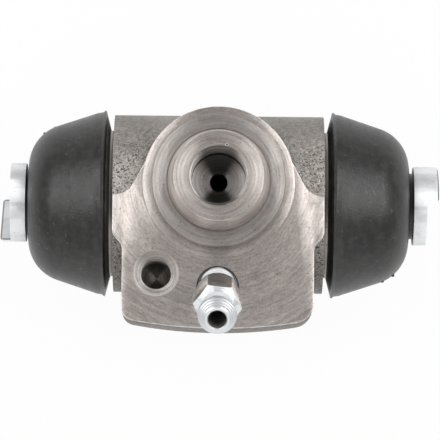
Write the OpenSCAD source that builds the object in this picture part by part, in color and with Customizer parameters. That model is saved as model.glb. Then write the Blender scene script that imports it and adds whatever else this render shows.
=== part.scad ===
// Drum brake wheel cylinder, double acting, in millimetres.
// X runs along the bore, +Z leaves the machined mounting face, +Y points away from the bleed screw.
// The origin is on the spigot's axis, in the plane of the mounting face.

/* [Barrel] */
// Outside diameter of the cast barrel
barrel_d = 30.1; // [29:0.1:34]
// Length of the barrel between its turned end faces
barrel_len = 35.4; // [34:0.2:44]
// Diameter of the honed bore
bore_d = 19.05; // [17.5:0.01:19.5]
// Depth of the cast barrel's crest below the flange's face
skin_drop = 0.2; // [0.1:0.05:0.4]
// Lead-in chamfer at each end of the bore
bore_chamfer = 0.5; // [0.2:0.1:0.8]

/* [Boot seat on the barrel] */
// Diameter of the turned neck that shows beside the boot
neck_d = 24.8; // [24.2:0.1:27]
// Length of that neck
neck_len = 1.2; // [1.1:0.1:2]
// Width of the turned relief between the neck and the barrel's end face
relief_w = 0.3; // [0.2:0.05:0.5]
// Depth of that relief
relief_depth = 0.4; // [0.2:0.05:0.6]
// Floor diameter of the groove that holds the boot
seat_groove_d = 22.8; // [22:0.1:23.6]
// Width of that groove
seat_groove_w = 2; // [1.8:0.1:3]
// Diameter of the lip that keeps the boot on
seat_lip_d = 24.2; // [23.8:0.1:25]
// Length of that lip
seat_lip_len = 1.5; // [1.2:0.1:2.2]
// Chamfer on the outer edge of that lip
seat_lip_chamfer = 0.5; // [0.2:0.1:0.8]

/* [Mounting flange] */
// Height of the spigot's axis above the bore's axis
spigot_offset = 2.1; // [1.5:0.1:4]
// Diameter of the round upper part of the flange
flange_top_d = 25.4; // [24:0.1:28]
// Height of the band where the face runs out over the whole barrel, below the spigot's axis
band_top = 2.2; // [1.6:0.1:2.8]
// Depth of that band
band_h = 5.8; // [5:0.1:8]
// Height of the round mounting land around the spigot above the rest of the face
face_step = 0.1; // [0.05:0.05:0.3]
// Width of the lower plate
flange_w = 32; // [30:0.2:34]
// Distance from the spigot's axis to the plate's lower edge
flange_drop = 24.5; // [23:0.1:28]
// Thickness of the plate
flange_t = 10; // [8:0.2:12]
// Radius of the plate's lower left corner
left_corner_r = 2.2; // [1:0.1:4]
// Radius of the plate's lower right corner
right_corner_r = 3.4; // [1:0.1:4]
// Radius of the bowed lower edge
flange_bow_r = 82; // [60:1:150]
// Angle above the horizontal at which the flare leaves the round part
flare_angle = 26; // [22:1:32]
// Radius where the flare runs out onto the band
flare_r = 3.4; // [2:0.1:3.8]
// Radius of each half of the step between band and plate
step_r = 2.3; // [1.6:0.1:3]
// Radius of the cast fillet behind the plate
back_fillet_r = 2.5; // [1.5:0.1:4]
// Depth below the face at which the round upper part starts to run out
runout_start = 10; // [8:0.2:12]
// Length over which it runs out into the barrel
runout_len = 7.5; // [5:0.5:10]
// Slope of that run-out
runout_angle = 16; // [12:1:24]

/* [Spigot and inlet port] */
// Diameter of the spigot that locates in the backing plate
spigot_d = 22; // [20:0.1:24]
// Height of the spigot
spigot_h = 3; // [2:0.1:4]
// Diameter of the port's boss at its foot
port_boss_d = 17; // [15.5:0.1:19]
// Height of the boss above the mounting face
port_boss_h = 9; // [8:0.1:11]
// Taper of the boss on each side
port_boss_taper = 9.5; // [2:0.5:12]
// Tapping diameter of the port's M10 x 1 thread
port_d = 9; // [8.5:0.1:10]
// Depth of the port down to its seat
port_depth = 8.8; // [8:0.1:8.9]
// Full angle of the pipe seat
port_seat_angle = 118; // [90:1:130]
// Chamfer at the mouth of the port
port_chamfer = 0.2; // [0.1:0.05:0.5]
// Diameter of the feed hole into the bore
feed_d = 3; // [2:0.1:3.6]

/* [Fixing hole] */
// Distance of the fixing hole to the left of the spigot's axis
fix_left = 10.3; // [9:0.1:11.5]
// Distance of the fixing hole below the spigot's axis
fix_below = 15.4; // [14.8:0.1:18]
// Tapping diameter of the M6 thread
fix_d = 5; // [4:0.1:6]
// Depth of the hole to its drill point
fix_depth = 9; // [7:0.1:11]
// Diameter of the countersink at its mouth
fix_sink_d = 7.7; // [6.4:0.1:8.4]
// Full angle of the drill point
drill_angle = 118; // [90:1:130]

/* [Bleed screw] */
// Distance of the bleed hole's mouth below the spigot's axis
bleed_below = 17.6; // [17:0.1:18.5]
// Lean of the bleed screw, away from the spigot
bleed_tilt = 25; // [20:1:30]
// Thread diameter of the screw
bleed_d = 6; // [5:0.1:6.6]
// Depth of the threaded hole
bleed_depth = 8.5; // [7.5:0.1:9]
// Diameter of the passage from the seat into the bore
bleed_passage_d = 2; // [1.4:0.1:2.4]
// Countersink at the mouth of the threaded hole
bleed_mouth = 0.2; // [0.1:0.05:0.4]
// Diameter of the relieved end below the thread
bleed_relief_d = 4.8; // [4.4:0.1:5]
// Length of the relieved end above the seat cone
bleed_relief_len = 1.5; // [1.4:0.1:2.5]
// Width of the seat cone's tip around the passage
bleed_seat_land = 0.2; // [0.1:0.05:0.4]
// Diameter of the hole across the relieved end
cross_hole_d = 1.4; // [1:0.1:1.5]
// Diameter of the long hole up the screw
bleed_drill_d = 1.6; // [1.2:0.1:2]
// Gap between the hexagon's lowest corner and the mounting face
hex_clear = 0.25; // [0.2:0.05:2]
// Hexagon across flats
hex_af = 7; // [6.6:0.1:8]
// Diameter of the flat at each end of the hexagon
hex_flat_d = 6.8; // [6.2:0.1:7]
// Length of the hexagon
hex_len = 7.7; // [5:0.1:9]
// Turn of the hexagon about the screw's axis
hex_turn = -6; // [-30:1:30]
// Length of the hose nipple beyond the hexagon
nipple_len = 5.7; // [5:0.1:9]
// Largest diameter of the nipple's bead
nipple_d = 6.4; // [5.4:0.1:6.8]
// Length of the nipple's waist
nipple_waist_len = 2.3; // [1:0.1:3]
// Length of the taper under the nipple's bead, and of the bead itself
nipple_bead_len = 0.7; // [0.4:0.1:1]
// Diameter of the nipple's waist
nipple_waist_d = 4.4; // [4.2:0.1:5]
// Diameter of the nipple's end
nipple_tip_d = 4.2; // [3.8:0.1:4.6]
// Diameter of the hole in the nipple
nipple_bore_d = 3.1; // [2:0.1:3.2]
// Depth of that hole
nipple_bore_depth = 9; // [6:0.1:11]

/* [Pistons] */
// Length of the piston's land in the bore
land_len = 12.8; // [10:0.1:13.5]
// Distance from the middle of the bore to a piston's inner end
piston_start = 8.4; // [8:0.1:10]
// Chamfer at both ends of the land
land_chamfer = 0.4; // [0.2:0.1:0.8]
// Diameter of the piston's nose
nose_d = 13.4; // [12.6:0.1:14]
// Distance from the piston's inner end to the groove for the boot
nose_groove_start = 22.5; // [22:0.1:25]
// Width of that groove
nose_groove_w = 2.2; // [2:0.1:2.8]
// Floor diameter of that groove
nose_groove_d = 11.2; // [10:0.1:11.6]
// Length of the head beyond the groove
head_len = 2.15; // [1.8:0.05:4]
// Length of the tongue that stands on the head
tongue_len = 2; // [1:0.1:3]
// Distance from the piston's axis to the flat of the tongue
tongue_flat = 3.7; // [2:0.1:4.6]
// Rounding of the tongue's outer edge
tongue_r = 0.6; // [0.2:0.1:0.9]
// Turn of the right piston's tongue from +Y towards +Z
right_tongue_turn = 32; // [0:1:360]
// Turn of the left piston's tongue from +Y towards +Z
left_tongue_turn = 224; // [0:1:360]

/* [Boots] */
// Diameter of the boot's sharp rim
rim_d = 31.7; // [31:0.1:33]
// Distance from the barrel's end face to the rim
rim_out = 1.5; // [1.4:0.05:2]
// Distance from the barrel's end face to the foot of the boot's back
boot_foot_out = 0.65; // [0.5:0.05:1]
// Slope of the boot's cone
boot_cone_angle = 18.3; // [14:0.1:20]
// Radius of the boot's shoulder
boot_shoulder_r = 7.5; // [6.8:0.1:8]
// Thickness of the boot's wall
boot_wall = 1.3; // [1.1:0.05:1.5]

/* [Seals and spring] */
// Length of a cup seal
cup_len = 4.8; // [4.4:0.1:5.4]
// Thickness of the cup's back
cup_back = 2.2; // [1.8:0.1:2.6]
// Thickness of the cup's lip at its edge
cup_lip = 0.9; // [0.5:0.1:1.2]
// Chamfer at the cup's outer corners
cup_corner = 0.25; // [0.1:0.05:0.4]
// Sheet thickness of the cup spreader
spreader_t = 0.5; // [0.3:0.05:0.7]
// Diameter of the flat middle of the spreader
spreader_flat_d = 12.4; // [11.6:0.1:12.8]
// Diameter of the spreader's rim
spreader_rim_d = 14.2; // [13.4:0.1:14.8]
// Height of that rim
spreader_rise = 1.8; // [1.2:0.1:2.2]
// Diameter of the hole in the spreader
spreader_hole_d = 2.5; // [1.5:0.1:4]
// Room around the flat of the spreader on the floor of the cup
spreader_room = 1; // [0.6:0.1:1.2]
// Wire diameter of the spring
wire_d = 0.9; // [0.6:0.05:1.1]
// Mean diameter of the spring's coils
coil_d = 8; // [6:0.1:9]
// Turns of the spring, with one closed turn at each end
coil_turns = 6; // [5:1:8]

/* [Fits] */
// Radial clearance of a piston or seal in the bore
bore_fit = 0.03; // [0.02:0.01:0.06]
// Clearance of a boot's beads in their grooves
boot_fit = 0.08; // [0.05:0.01:0.12]
// Radial clearance of the bleed screw in its thread
thread_fit = 0.08; // [0.04:0.01:0.1]
// Gap between the stacked seals, spreaders and spring
stack_gap = 0.02; // [0.01:0.01:0.05]

/* [Hidden] */
$fn = 96;
eps = 0.01;      // overlap that joins neighbouring solids
past = 1;        // how far a cut runs past the surface that it leaves
reach = 100;     // larger than any part of the cylinder
flare_tuck = 0.98; // share of the round top's radius at which the flare starts inside it
hex_chamfer_angle = 30;

// Barrel and boot seat
axis_y = -spigot_offset;
plate_face = -face_step;
axis_z = plate_face - skin_drop - barrel_d / 2;
end_face = barrel_len / 2;
groove_in = end_face + neck_len;
groove_out = groove_in + seat_groove_w;
barrel_end = groove_out + seat_lip_len;

// Flange outline
top_r = flange_top_d / 2;
band_bottom = band_top + band_h;
flare_foot = top_r / cos(flare_angle) + band_top * tan(flare_angle);
flare_tangent = flare_r * tan(45 - flare_angle / 2);
step_in = end_face - flange_w / 2;
step_angle = acos(1 - step_in / (2 * step_r));
step_h = 2 * step_r * sin(step_angle);
bow_y = flange_bow_r - flange_drop;
back_w = flange_w - 2 * max(left_corner_r, right_corner_r);

plate_back = plate_face - flange_t;

// Small end of the round top's run-out into the barrel
runout_r = top_r - runout_len * tan(runout_angle);

// Cast fillet behind the plate, tangent to the plate's back and to the barrel
fillet_z = plate_back - back_fillet_r;
fillet_reach = barrel_d / 2 + back_fillet_r;
fillet_y = axis_y - sqrt(pow(fillet_reach, 2) - pow(fillet_z - axis_z, 2));
fillet_share = barrel_d / 2 / fillet_reach;

// Inlet port and fixing hole
port_floor = port_boss_h - port_depth;
port_seat_h = (port_d - feed_d) / 2 / tan(port_seat_angle / 2);
fix_sink_h = (fix_sink_d - fix_d) / 2;
fix_point_h = fix_d / 2 / tan(drill_angle / 2);

// Bleed screw and its hole, measured along the screw's axis from the flange's face
bleed_hole_r = (bleed_d + thread_fit) / 2;
bleed_thread_r = (bleed_d - thread_fit) / 2;
bleed_relief_r = bleed_relief_d / 2;
bleed_tip_r = bleed_passage_d / 2 + bleed_seat_land;
bleed_tip_t = bleed_tip_r + thread_fit - bleed_depth - bleed_hole_r;
bleed_cone_t = bleed_tip_t + bleed_relief_r - bleed_tip_r;
bleed_relief_t = bleed_cone_t + bleed_relief_len;
bleed_past_bore = (bleed_below - spigot_offset) * sin(bleed_tilt) + (plate_face - axis_z) * cos(bleed_tilt);
hex_corner_r = hex_af / 2 / cos(30);
hex_start = hex_corner_r * tan(bleed_tilt) + hex_clear / cos(bleed_tilt);
hex_end = hex_start + hex_len;
nipple_bead = hex_end + nipple_waist_len + nipple_bead_len;
nipple_end = hex_end + nipple_len;

// Piston stations, measured along the bore from its middle
land_r = bore_d / 2 - bore_fit;
land_end = piston_start + land_len;
nose_groove_in = piston_start + nose_groove_start;
nose_groove_out = nose_groove_in + nose_groove_w;
seat_face = nose_groove_out + head_len;
tongue_end = seat_face + tongue_len;

// Boot stations, measured along the bore from its middle
boot_foot = end_face + boot_foot_out;
boot_foot_r = neck_d / 2 + boot_fit;
rim = end_face + rim_out;
rim_r = rim_d / 2;
boot_slope = tan(boot_cone_angle);
boot_bead_r = nose_groove_d / 2 + boot_fit;
boot_face = nose_groove_in + boot_fit + boot_wall;
shoulder_at = boot_face - boot_shoulder_r;
cone_at_face_r = rim_r - (boot_face - rim) * boot_slope;
shoulder_level = cone_at_face_r - boot_shoulder_r * tan(45 - boot_cone_angle / 2);
boot_web_out = groove_out - boot_fit;

// Seals and spring
cup_r = bore_d / 2 - bore_fit;
cup_base = piston_start - stack_gap;
cup_floor = cup_base - cup_back;
cup_edge = cup_base - cup_len;
cup_floor_r = spreader_flat_d / 2 + spreader_room;
spreader_base = cup_floor - stack_gap;
spreader_face = spreader_base - spreader_t;
spring_half = spreader_face - stack_gap - wire_d / 2;

cast_iron = [0.42, 0.41, 0.40];
zinc_plate = [0.80, 0.82, 0.84];
boot_rubber = [0.13, 0.13, 0.13];
seal_rubber = [0.08, 0.08, 0.09];
spring_steel = [0.55, 0.56, 0.58];

// Puts a shape that stands on +Z along the bore, towards +X.
module along_bore() translate([0, axis_y, axis_z]) rotate([0, 90, 0]) children();

// Turns a shape that points to +X into its opposite number on the left.
module left_hand() mirror([1, 0, 0]) children();

// Stands a shape on the bleed screw's axis, with its origin in the flange's face.
module at_bleed() translate([0, -bleed_below, plate_face]) rotate([bleed_tilt, 0, 0]) children();

// A profile of [radius, station] points with its copy at negative stations.
function both_ends(half) = concat(
    half,
    [for (i = [len(half) - 1:-1:0]) [half[i][0], -half[i][1]]]
);

module barrel() {
    half = [
        [barrel_d / 2, end_face],
        [neck_d / 2 - relief_depth, end_face],
        [neck_d / 2 - relief_depth, end_face + relief_w],
        [neck_d / 2, end_face + relief_w],
        [neck_d / 2, groove_in],
        [seat_groove_d / 2, groove_in],
        [seat_groove_d / 2, groove_out],
        [seat_lip_d / 2, groove_out],
        [seat_lip_d / 2, barrel_end - seat_lip_chamfer],
        [seat_lip_d / 2 - seat_lip_chamfer, barrel_end],
        [0, barrel_end]
    ];
    along_bore() rotate_extrude() polygon(both_ends(half));
}

// Points along an arc about c, from one angle to another.
function arc(c, r, from, to, n = 8) =
    [for (i = [0:n]) let (a = from + (to - from) * i / n) c + r * [cos(a), sin(a)]];

// Flange below its round top, as the right half of an outline that runs from the top down:
// flare, fillet onto the band, step in to the plate, round corner, bowed lower edge.
function flange_half(corner_r) = let (
    corner_x = flange_w / 2 - corner_r,
    bow_angle = asin(corner_x / (flange_bow_r - corner_r)),
    corner_y = bow_y - (flange_bow_r - corner_r) * cos(bow_angle)
) concat(
    [[0, top_r / 2], flare_tuck * top_r * [cos(flare_angle), sin(flare_angle)]],
    arc([flare_foot + flare_tangent, flare_r - band_top], flare_r, 180 + flare_angle, 270),
    [[end_face, -band_top]],
    arc([end_face - step_r, -band_bottom], step_r, 0, -step_angle),
    arc([flange_w / 2 + step_r, -band_bottom - step_h], step_r, 180 - step_angle, 180),
    arc([corner_x, corner_y], corner_r, 0, bow_angle - 90),
    arc([0, bow_y], flange_bow_r, bow_angle - 90, -90)
);

// A right half of an outline, closed by the mirror image of its left half.
function both_sides(right, left) = concat(
    right,
    [for (i = [len(left) - 2:-1:1]) [-left[i][0], left[i][1]]]
);

// Fillet that blends the back of the plate into the barrel.
module back_fillet() {
    tangent_y = axis_y + (fillet_y - axis_y) * fillet_share;
    tangent_z = axis_z + (fillet_z - axis_z) * fillet_share;
    rotate([90, 0, 90]) linear_extrude(back_w, center = true) difference() {
        polygon([[fillet_y, plate_back + eps], [fillet_y, plate_back], [tangent_y, tangent_z],
            [axis_y, tangent_z], [axis_y, plate_back + eps]]);
        translate([fillet_y, fillet_z]) circle(r = back_fillet_r);
    }
}

// The faced casting with its round mounting land, before the spigot stands on it.
module casting() {
    difference() {
        union() {
            barrel();
            translate([0, 0, plate_back]) linear_extrude(flange_t + eps)
                polygon(both_sides(flange_half(right_corner_r), flange_half(left_corner_r)));
            translate([0, 0, -runout_start - runout_len]) cylinder(r1 = runout_r, r2 = top_r, h = runout_len);
            back_fillet();
        }
        translate([-reach / 2, -reach / 2, plate_face]) cube(reach);
    }
    translate([0, 0, -runout_start]) cylinder(r = top_r, h = runout_start);
}

module spigot() {
    boss_r = port_boss_d / 2;
    boss_top_r = boss_r - (port_boss_h - spigot_h) * tan(port_boss_taper);
    rotate_extrude() polygon([
        [0, -spigot_h], [spigot_d / 2, -spigot_h], [spigot_d / 2, spigot_h], [boss_r, spigot_h],
        [boss_top_r, port_boss_h], [0, port_boss_h]
    ]);
}

module bore_cut() {
    half = [
        [bore_d / 2, barrel_end - bore_chamfer],
        [bore_d / 2 + bore_chamfer, barrel_end],
        [bore_d / 2 + bore_chamfer, barrel_end + past],
        [0, barrel_end + past]
    ];
    along_bore() rotate_extrude() polygon(both_ends(half));
}

// Tapped port, pipe seat and feed hole.
module port_cut() {
    mouth_r = port_d / 2 + port_chamfer;
    rotate_extrude() polygon([
        [0, axis_z], [feed_d / 2, axis_z], [feed_d / 2, port_floor - port_seat_h],
        [port_d / 2, port_floor], [port_d / 2, port_boss_h - port_chamfer],
        [mouth_r, port_boss_h], [mouth_r, port_boss_h + past], [0, port_boss_h + past]
    ]);
}

module fixing_cut() {
    translate([-fix_left, -fix_below, plate_face]) rotate_extrude() polygon([
        [0, -fix_depth - fix_point_h], [fix_d / 2, -fix_depth], [fix_d / 2, -fix_sink_h],
        [fix_sink_d / 2, 0], [fix_sink_d / 2, past], [0, past]
    ]);
}

// Leaning tapped hole for the bleed screw, its seat and the passage into the bore.
module bleed_cut() {
    passage_r = bleed_passage_d / 2;
    mouth_r = bleed_hole_r / cos(bleed_tilt);
    mouth_t = bleed_hole_r * tan(bleed_tilt) + past;
    at_bleed() rotate_extrude() polygon([
        [0, -bleed_past_bore], [passage_r, -bleed_past_bore],
        [passage_r, passage_r - bleed_depth - bleed_hole_r], [bleed_hole_r, -bleed_depth],
        [bleed_hole_r, mouth_t], [0, mouth_t]
    ]);
    translate([0, -bleed_below, plate_face - bleed_mouth])
        cylinder(r1 = mouth_r, r2 = mouth_r + bleed_mouth + eps, h = bleed_mouth + eps);
}

module cylinder_body() {
    color(cast_iron) difference() {
        union() {
            casting();
            spigot();
        }
        bore_cut();
        port_cut();
        fixing_cut();
        bleed_cut();
    }
}

// Turned outline of the bleed screw, from its seat cone to the end of the nipple.
module bleed_turning() {
    waist_r = nipple_waist_d / 2;
    bead_r = nipple_d / 2;
    rotate_extrude() polygon([
        [0, bleed_tip_t], [bleed_tip_r, bleed_tip_t], [bleed_relief_r, bleed_cone_t],
        [bleed_relief_r, bleed_relief_t], [bleed_thread_r, bleed_relief_t + bleed_thread_r - bleed_relief_r],
        [bleed_thread_r, hex_start + eps], [waist_r, hex_start + eps],
        [waist_r, hex_end + nipple_waist_len], [bead_r, nipple_bead],
        [bead_r, nipple_bead + nipple_bead_len], [nipple_tip_d / 2, nipple_end], [0, nipple_end]
    ]);
}

// Hexagon with both of its ends turned to a chamfer.
module bleed_hexagon() {
    flat_r = hex_flat_d / 2;
    chamfer_h = (hex_corner_r - flat_r) * tan(hex_chamfer_angle);
    intersection() {
        translate([0, 0, hex_start]) rotate(hex_turn) cylinder(r = hex_corner_r, h = hex_len, $fn = 6);
        rotate_extrude() polygon([
            [0, hex_start], [flat_r, hex_start], [hex_corner_r, hex_start + chamfer_h],
            [hex_corner_r, hex_end - chamfer_h], [flat_r, hex_end], [0, hex_end]
        ]);
    }
}

module bleed_screw() {
    drill_r = bleed_drill_d / 2;
    bore_floor = nipple_end - nipple_bore_depth;
    color(zinc_plate) at_bleed() difference() {
        union() {
            bleed_turning();
            bleed_hexagon();
        }
        rotate_extrude() polygon([
            [0, bleed_cone_t], [drill_r, bleed_cone_t], [drill_r, bore_floor],
            [nipple_bore_d / 2, bore_floor], [nipple_bore_d / 2, nipple_end + past], [0, nipple_end + past]
        ]);
        translate([0, 0, bleed_cone_t + cross_hole_d / 2]) rotate([0, 90, 0])
            cylinder(d = cross_hole_d, h = bleed_d, center = true);
    }
}

// Right-hand piston: land, nose with a groove for the boot, flat head and the tongue beside it.
module piston(turn) {
    edge = tongue_end - tongue_r;
    color(zinc_plate) along_bore() difference() {
        rotate_extrude() {
            polygon([
                [0, piston_start], [land_r - land_chamfer, piston_start],
                [land_r, piston_start + land_chamfer], [land_r, land_end - land_chamfer],
                [land_r - land_chamfer, land_end], [nose_d / 2, land_end],
                [nose_d / 2, nose_groove_in], [nose_groove_d / 2, nose_groove_in],
                [nose_groove_d / 2, nose_groove_out], [nose_d / 2, nose_groove_out],
                [nose_d / 2, edge], [nose_d / 2 - tongue_r, edge],
                [nose_d / 2 - tongue_r, tongue_end], [0, tongue_end]
            ]);
            translate([nose_d / 2 - tongue_r, edge]) circle(r = tongue_r);
        }
        rotate(turn) translate([-reach / 2, tongue_flat - reach, seat_face]) cube(reach);
    }
}

// Outside or inside of a boot's dome in section, as [radius, station], for a wall this far in.
module boot_section(inset) {
    r = boot_shoulder_r - inset;
    tangent = [shoulder_level + r * cos(boot_cone_angle), shoulder_at + r * sin(boot_cone_angle)];
    start = inset > 0 ? boot_web_out : rim;
    start_r = tangent[0] + (tangent[1] - start) * boot_slope;
    polygon([
        [0, start], [start_r, start], tangent, [shoulder_level, shoulder_at],
        [shoulder_level, shoulder_at + r], [0, shoulder_at + r]
    ]);
    intersection() {
        translate([shoulder_level, shoulder_at]) circle(r = r);
        translate([shoulder_level - eps, shoulder_at]) square(r + past);
    }
}

// Right-hand boot: sharp rim, cone, round shoulder, and a bead in each of the two grooves.
module dust_boot() {
    color(boot_rubber) along_bore() rotate_extrude() difference() {
        union() {
            boot_section(0);
            polygon([
                [0, boot_foot], [boot_foot_r, boot_foot], [rim_r, rim], [rim_r, rim + eps], [0, rim + eps]
            ]);
        }
        boot_section(boot_wall);
        square([boot_bead_r, reach]);
        square([nose_d / 2 + boot_fit, nose_groove_in + boot_fit]);
        square([seat_groove_d / 2 + boot_fit, boot_web_out + eps]);
        square([boot_foot_r, groove_in + boot_fit]);
    }
}

// Right-hand cup seal, its lip towards the middle of the bore.
module cup_seal() {
    color(seal_rubber) along_bore() rotate_extrude() polygon([
        [0, cup_base], [cup_r - cup_corner, cup_base], [cup_r, cup_base - cup_corner],
        [cup_r, cup_edge + cup_corner], [cup_r - cup_corner, cup_edge], [cup_r - cup_lip, cup_edge],
        [cup_floor_r, cup_floor], [0, cup_floor]
    ]);
}

// Right-hand spreader: a dished sheet washer that holds the cup's lip out.
module cup_spreader() {
    flat_r = spreader_flat_d / 2;
    rim_r = spreader_rim_d / 2;
    hole_r = spreader_hole_d / 2;
    color(spring_steel) along_bore() rotate_extrude() polygon([
        [hole_r, spreader_base], [flat_r, spreader_base], [rim_r, spreader_base - spreader_rise],
        [rim_r - spreader_t, spreader_base - spreader_rise], [flat_r - spreader_t / 2, spreader_face],
        [hole_r, spreader_face]
    ]);
}

// Compression spring: a wire of eight sides swept along a helix whose end turns lie flat.
module return_spring() {
    sides = 8;
    steps = 24;
    rings = coil_turns * steps;
    free = (2 * spring_half - 2 * wire_d) / (coil_turns - 2);
    function rise(turn) =
        turn < 1 ? turn * wire_d
        : turn > coil_turns - 1 ? 2 * spring_half - (coil_turns - turn) * wire_d
        : wire_d + (turn - 1) * free;
    function ring(i) = [for (k = [0:sides - 1])
        let (a = 360 * i / steps, b = 360 * k / sides, r = (coil_d + wire_d * cos(b)) / 2)
        [r * cos(a), r * sin(a), rise(i / steps) - spring_half + wire_d / 2 * sin(b)]];
    points = [for (i = [0:rings]) each ring(i)];
    walls = [for (i = [0:rings - 1], k = [0:sides - 1])
        let (a = i * sides + k, b = i * sides + (k + 1) % sides)
        [a, a + sides, b + sides, b]];
    ends = [[for (k = [0:sides - 1]) k], [for (k = [sides - 1:-1:0]) rings * sides + k]];
    color(spring_steel) along_bore() polyhedron(points, concat(walls, ends));
}

module left_piston() left_hand() piston(left_tongue_turn);
module left_cup_seal() left_hand() cup_seal();
module left_cup_spreader() left_hand() cup_spreader();
module left_dust_boot() left_hand() dust_boot();
module right_piston() piston(right_tongue_turn);
module right_cup_seal() cup_seal();
module right_cup_spreader() cup_spreader();
module right_dust_boot() dust_boot();

cylinder_body();
bleed_screw();
return_spring();
left_piston();
left_cup_seal();
left_cup_spreader();
left_dust_boot();
right_piston();
right_cup_seal();
right_cup_spreader();
right_dust_boot();
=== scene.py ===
import math

import bmesh
import bpy
from mathutils import Matrix, Vector


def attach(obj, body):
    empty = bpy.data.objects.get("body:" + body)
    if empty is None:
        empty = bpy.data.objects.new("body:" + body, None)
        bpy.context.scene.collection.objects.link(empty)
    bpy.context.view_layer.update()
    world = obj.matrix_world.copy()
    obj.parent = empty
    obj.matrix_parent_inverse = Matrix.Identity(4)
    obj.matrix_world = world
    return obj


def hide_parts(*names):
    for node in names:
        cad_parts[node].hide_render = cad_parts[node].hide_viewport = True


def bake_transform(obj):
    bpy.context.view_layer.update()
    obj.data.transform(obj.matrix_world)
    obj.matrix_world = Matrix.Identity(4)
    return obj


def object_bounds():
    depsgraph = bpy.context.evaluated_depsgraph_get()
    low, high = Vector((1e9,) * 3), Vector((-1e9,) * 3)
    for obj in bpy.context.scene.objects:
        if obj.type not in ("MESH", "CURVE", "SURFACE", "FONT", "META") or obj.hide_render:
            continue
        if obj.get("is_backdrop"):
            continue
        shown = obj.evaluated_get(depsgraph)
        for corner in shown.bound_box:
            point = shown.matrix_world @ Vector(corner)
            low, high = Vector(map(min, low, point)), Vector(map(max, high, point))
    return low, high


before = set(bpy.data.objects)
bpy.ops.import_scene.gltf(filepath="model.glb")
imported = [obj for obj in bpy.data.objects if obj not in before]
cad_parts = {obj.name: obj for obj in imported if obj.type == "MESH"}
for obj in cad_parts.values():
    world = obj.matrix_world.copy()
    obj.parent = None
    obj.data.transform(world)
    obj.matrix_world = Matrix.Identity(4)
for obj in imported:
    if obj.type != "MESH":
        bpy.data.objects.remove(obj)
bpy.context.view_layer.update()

mm = 0.001

boreY, boreZ = -2.1 * mm, -15.35 * mm  # the bore runs along X through here
plateZ = -0.1 * mm  # the flange's face lies this far below the mounting land
fixX, fixY = -10.3, -15.4  # the fixing thread's axis, in mm
bleedFoot = Vector((0, -17.6 * mm, plateZ))
bleedLean = math.radians(25)


# distances in mm, those of the bleed screw from its foot

def offBore(p):
    return math.hypot(p.y - boreY / mm, p.z - boreZ / mm)


def offFix(p):
    return math.hypot(p.x - fixX, p.y - fixY)


def offBleed(p):
    return math.hypot(p.x, p.y * math.cos(bleedLean) + p.z * math.sin(bleedLean))


def alongBleed(p):
    return p.z * math.cos(bleedLean) - p.y * math.sin(bleedLean)


# handling

def takeUp(obj):
    bpy.ops.object.select_all(action="DESELECT")
    obj.select_set(True)
    bpy.context.view_layer.objects.active = obj
    return obj


def editing(obj):
    takeUp(obj)
    bpy.ops.object.mode_set(mode="EDIT")


def doneEditing():
    bpy.ops.object.mode_set(mode="OBJECT")


def pick(obj, kind, test):
    # selects the edges or faces that pass the test, and nothing else
    bpy.ops.mesh.select_mode(type=kind)
    bpy.ops.mesh.select_all(action="DESELECT")
    bm = bmesh.from_edit_mesh(obj.data)
    found = [item for item in (bm.edges if kind == "EDGE" else bm.faces) if test(item)]
    for item in found:
        item.select_set(True)
    bmesh.update_edit_mesh(obj.data)
    return len(found)


def applied(obj, kind, **settings):
    takeUp(obj)
    mod = obj.modifiers.new(kind.lower(), kind)
    for key, value in settings.items():
        setattr(mod, key, value)
    bpy.ops.object.modifier_apply(modifier=mod.name)
    return obj


def settle(obj, turn=(0, 0, 0), place=(0, 0, 0)):
    takeUp(obj)
    obj.rotation_euler = turn
    obj.location = place
    bpy.ops.object.transform_apply(location=True, rotation=True, scale=True)
    return obj


def closeUp(obj):
    # merges doubles, caps open ends and turns the faces outwards
    editing(obj)
    bpy.ops.mesh.select_all(action="SELECT")
    bpy.ops.mesh.remove_doubles(threshold=1e-7)
    bpy.ops.mesh.fill_holes(sides=0)
    bpy.ops.mesh.select_all(action="SELECT")
    bpy.ops.mesh.normals_make_consistent(inside=False)
    doneEditing()
    return obj


def drawLine(name, points, closed=False):
    # one vertex, drawn on through (radius, station) points in mm, in the XZ plane
    bpy.ops.object.select_all(action="DESELECT")
    bpy.ops.mesh.primitive_plane_add(size=mm)
    obj = bpy.context.object
    obj.name = obj.data.name = name
    bpy.ops.object.mode_set(mode="EDIT")
    bpy.ops.mesh.select_mode(type="VERT")
    bpy.ops.mesh.select_all(action="SELECT")
    bpy.ops.mesh.merge(type="CENTER")
    spots = [Vector((r * mm, 0, z * mm)) for r, z in points]
    bpy.ops.transform.translate(value=spots[0])
    for a, b in zip(spots, spots[1:] + (spots[:1] if closed else [])):
        bpy.ops.mesh.extrude_vertices_move(TRANSFORM_OT_translate={"value": b - a})
    bpy.ops.mesh.select_all(action="SELECT")
    bpy.ops.mesh.remove_doubles(threshold=1e-7)
    return obj


def turnedPiece(name, points, steps=128, closed=False):
    # a profile spun about Z, as on a lathe
    obj = drawLine(name, points, closed)
    bpy.ops.mesh.select_all(action="SELECT")
    bpy.ops.mesh.spin(steps=steps, angle=2 * math.pi, center=(0, 0, 0), axis=(0, 0, 1))
    bpy.ops.mesh.select_all(action="SELECT")
    bpy.ops.mesh.remove_doubles(threshold=1e-7)
    bpy.ops.mesh.normals_make_consistent(inside=False)
    doneEditing()
    return obj


def rounded(points, radius, count=4):
    # softens the corners of an open profile, each by at most a share of its sides
    out = [points[0]]
    for a, b, c in zip(points, points[1:], points[2:]):
        va, vc = Vector(a) - Vector(b), Vector(c) - Vector(b)
        cut = min(radius, va.length * 0.45, vc.length * 0.45)
        p, q = Vector(b) + va.normalized() * cut, Vector(b) + vc.normalized() * cut
        for i in range(count + 1):
            t = i / count
            spot = (1 - t) ** 2 * p + 2 * t * (1 - t) * Vector(b) + t ** 2 * q
            out.append((spot.x, spot.y))
    out.append(points[-1])
    return out


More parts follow.
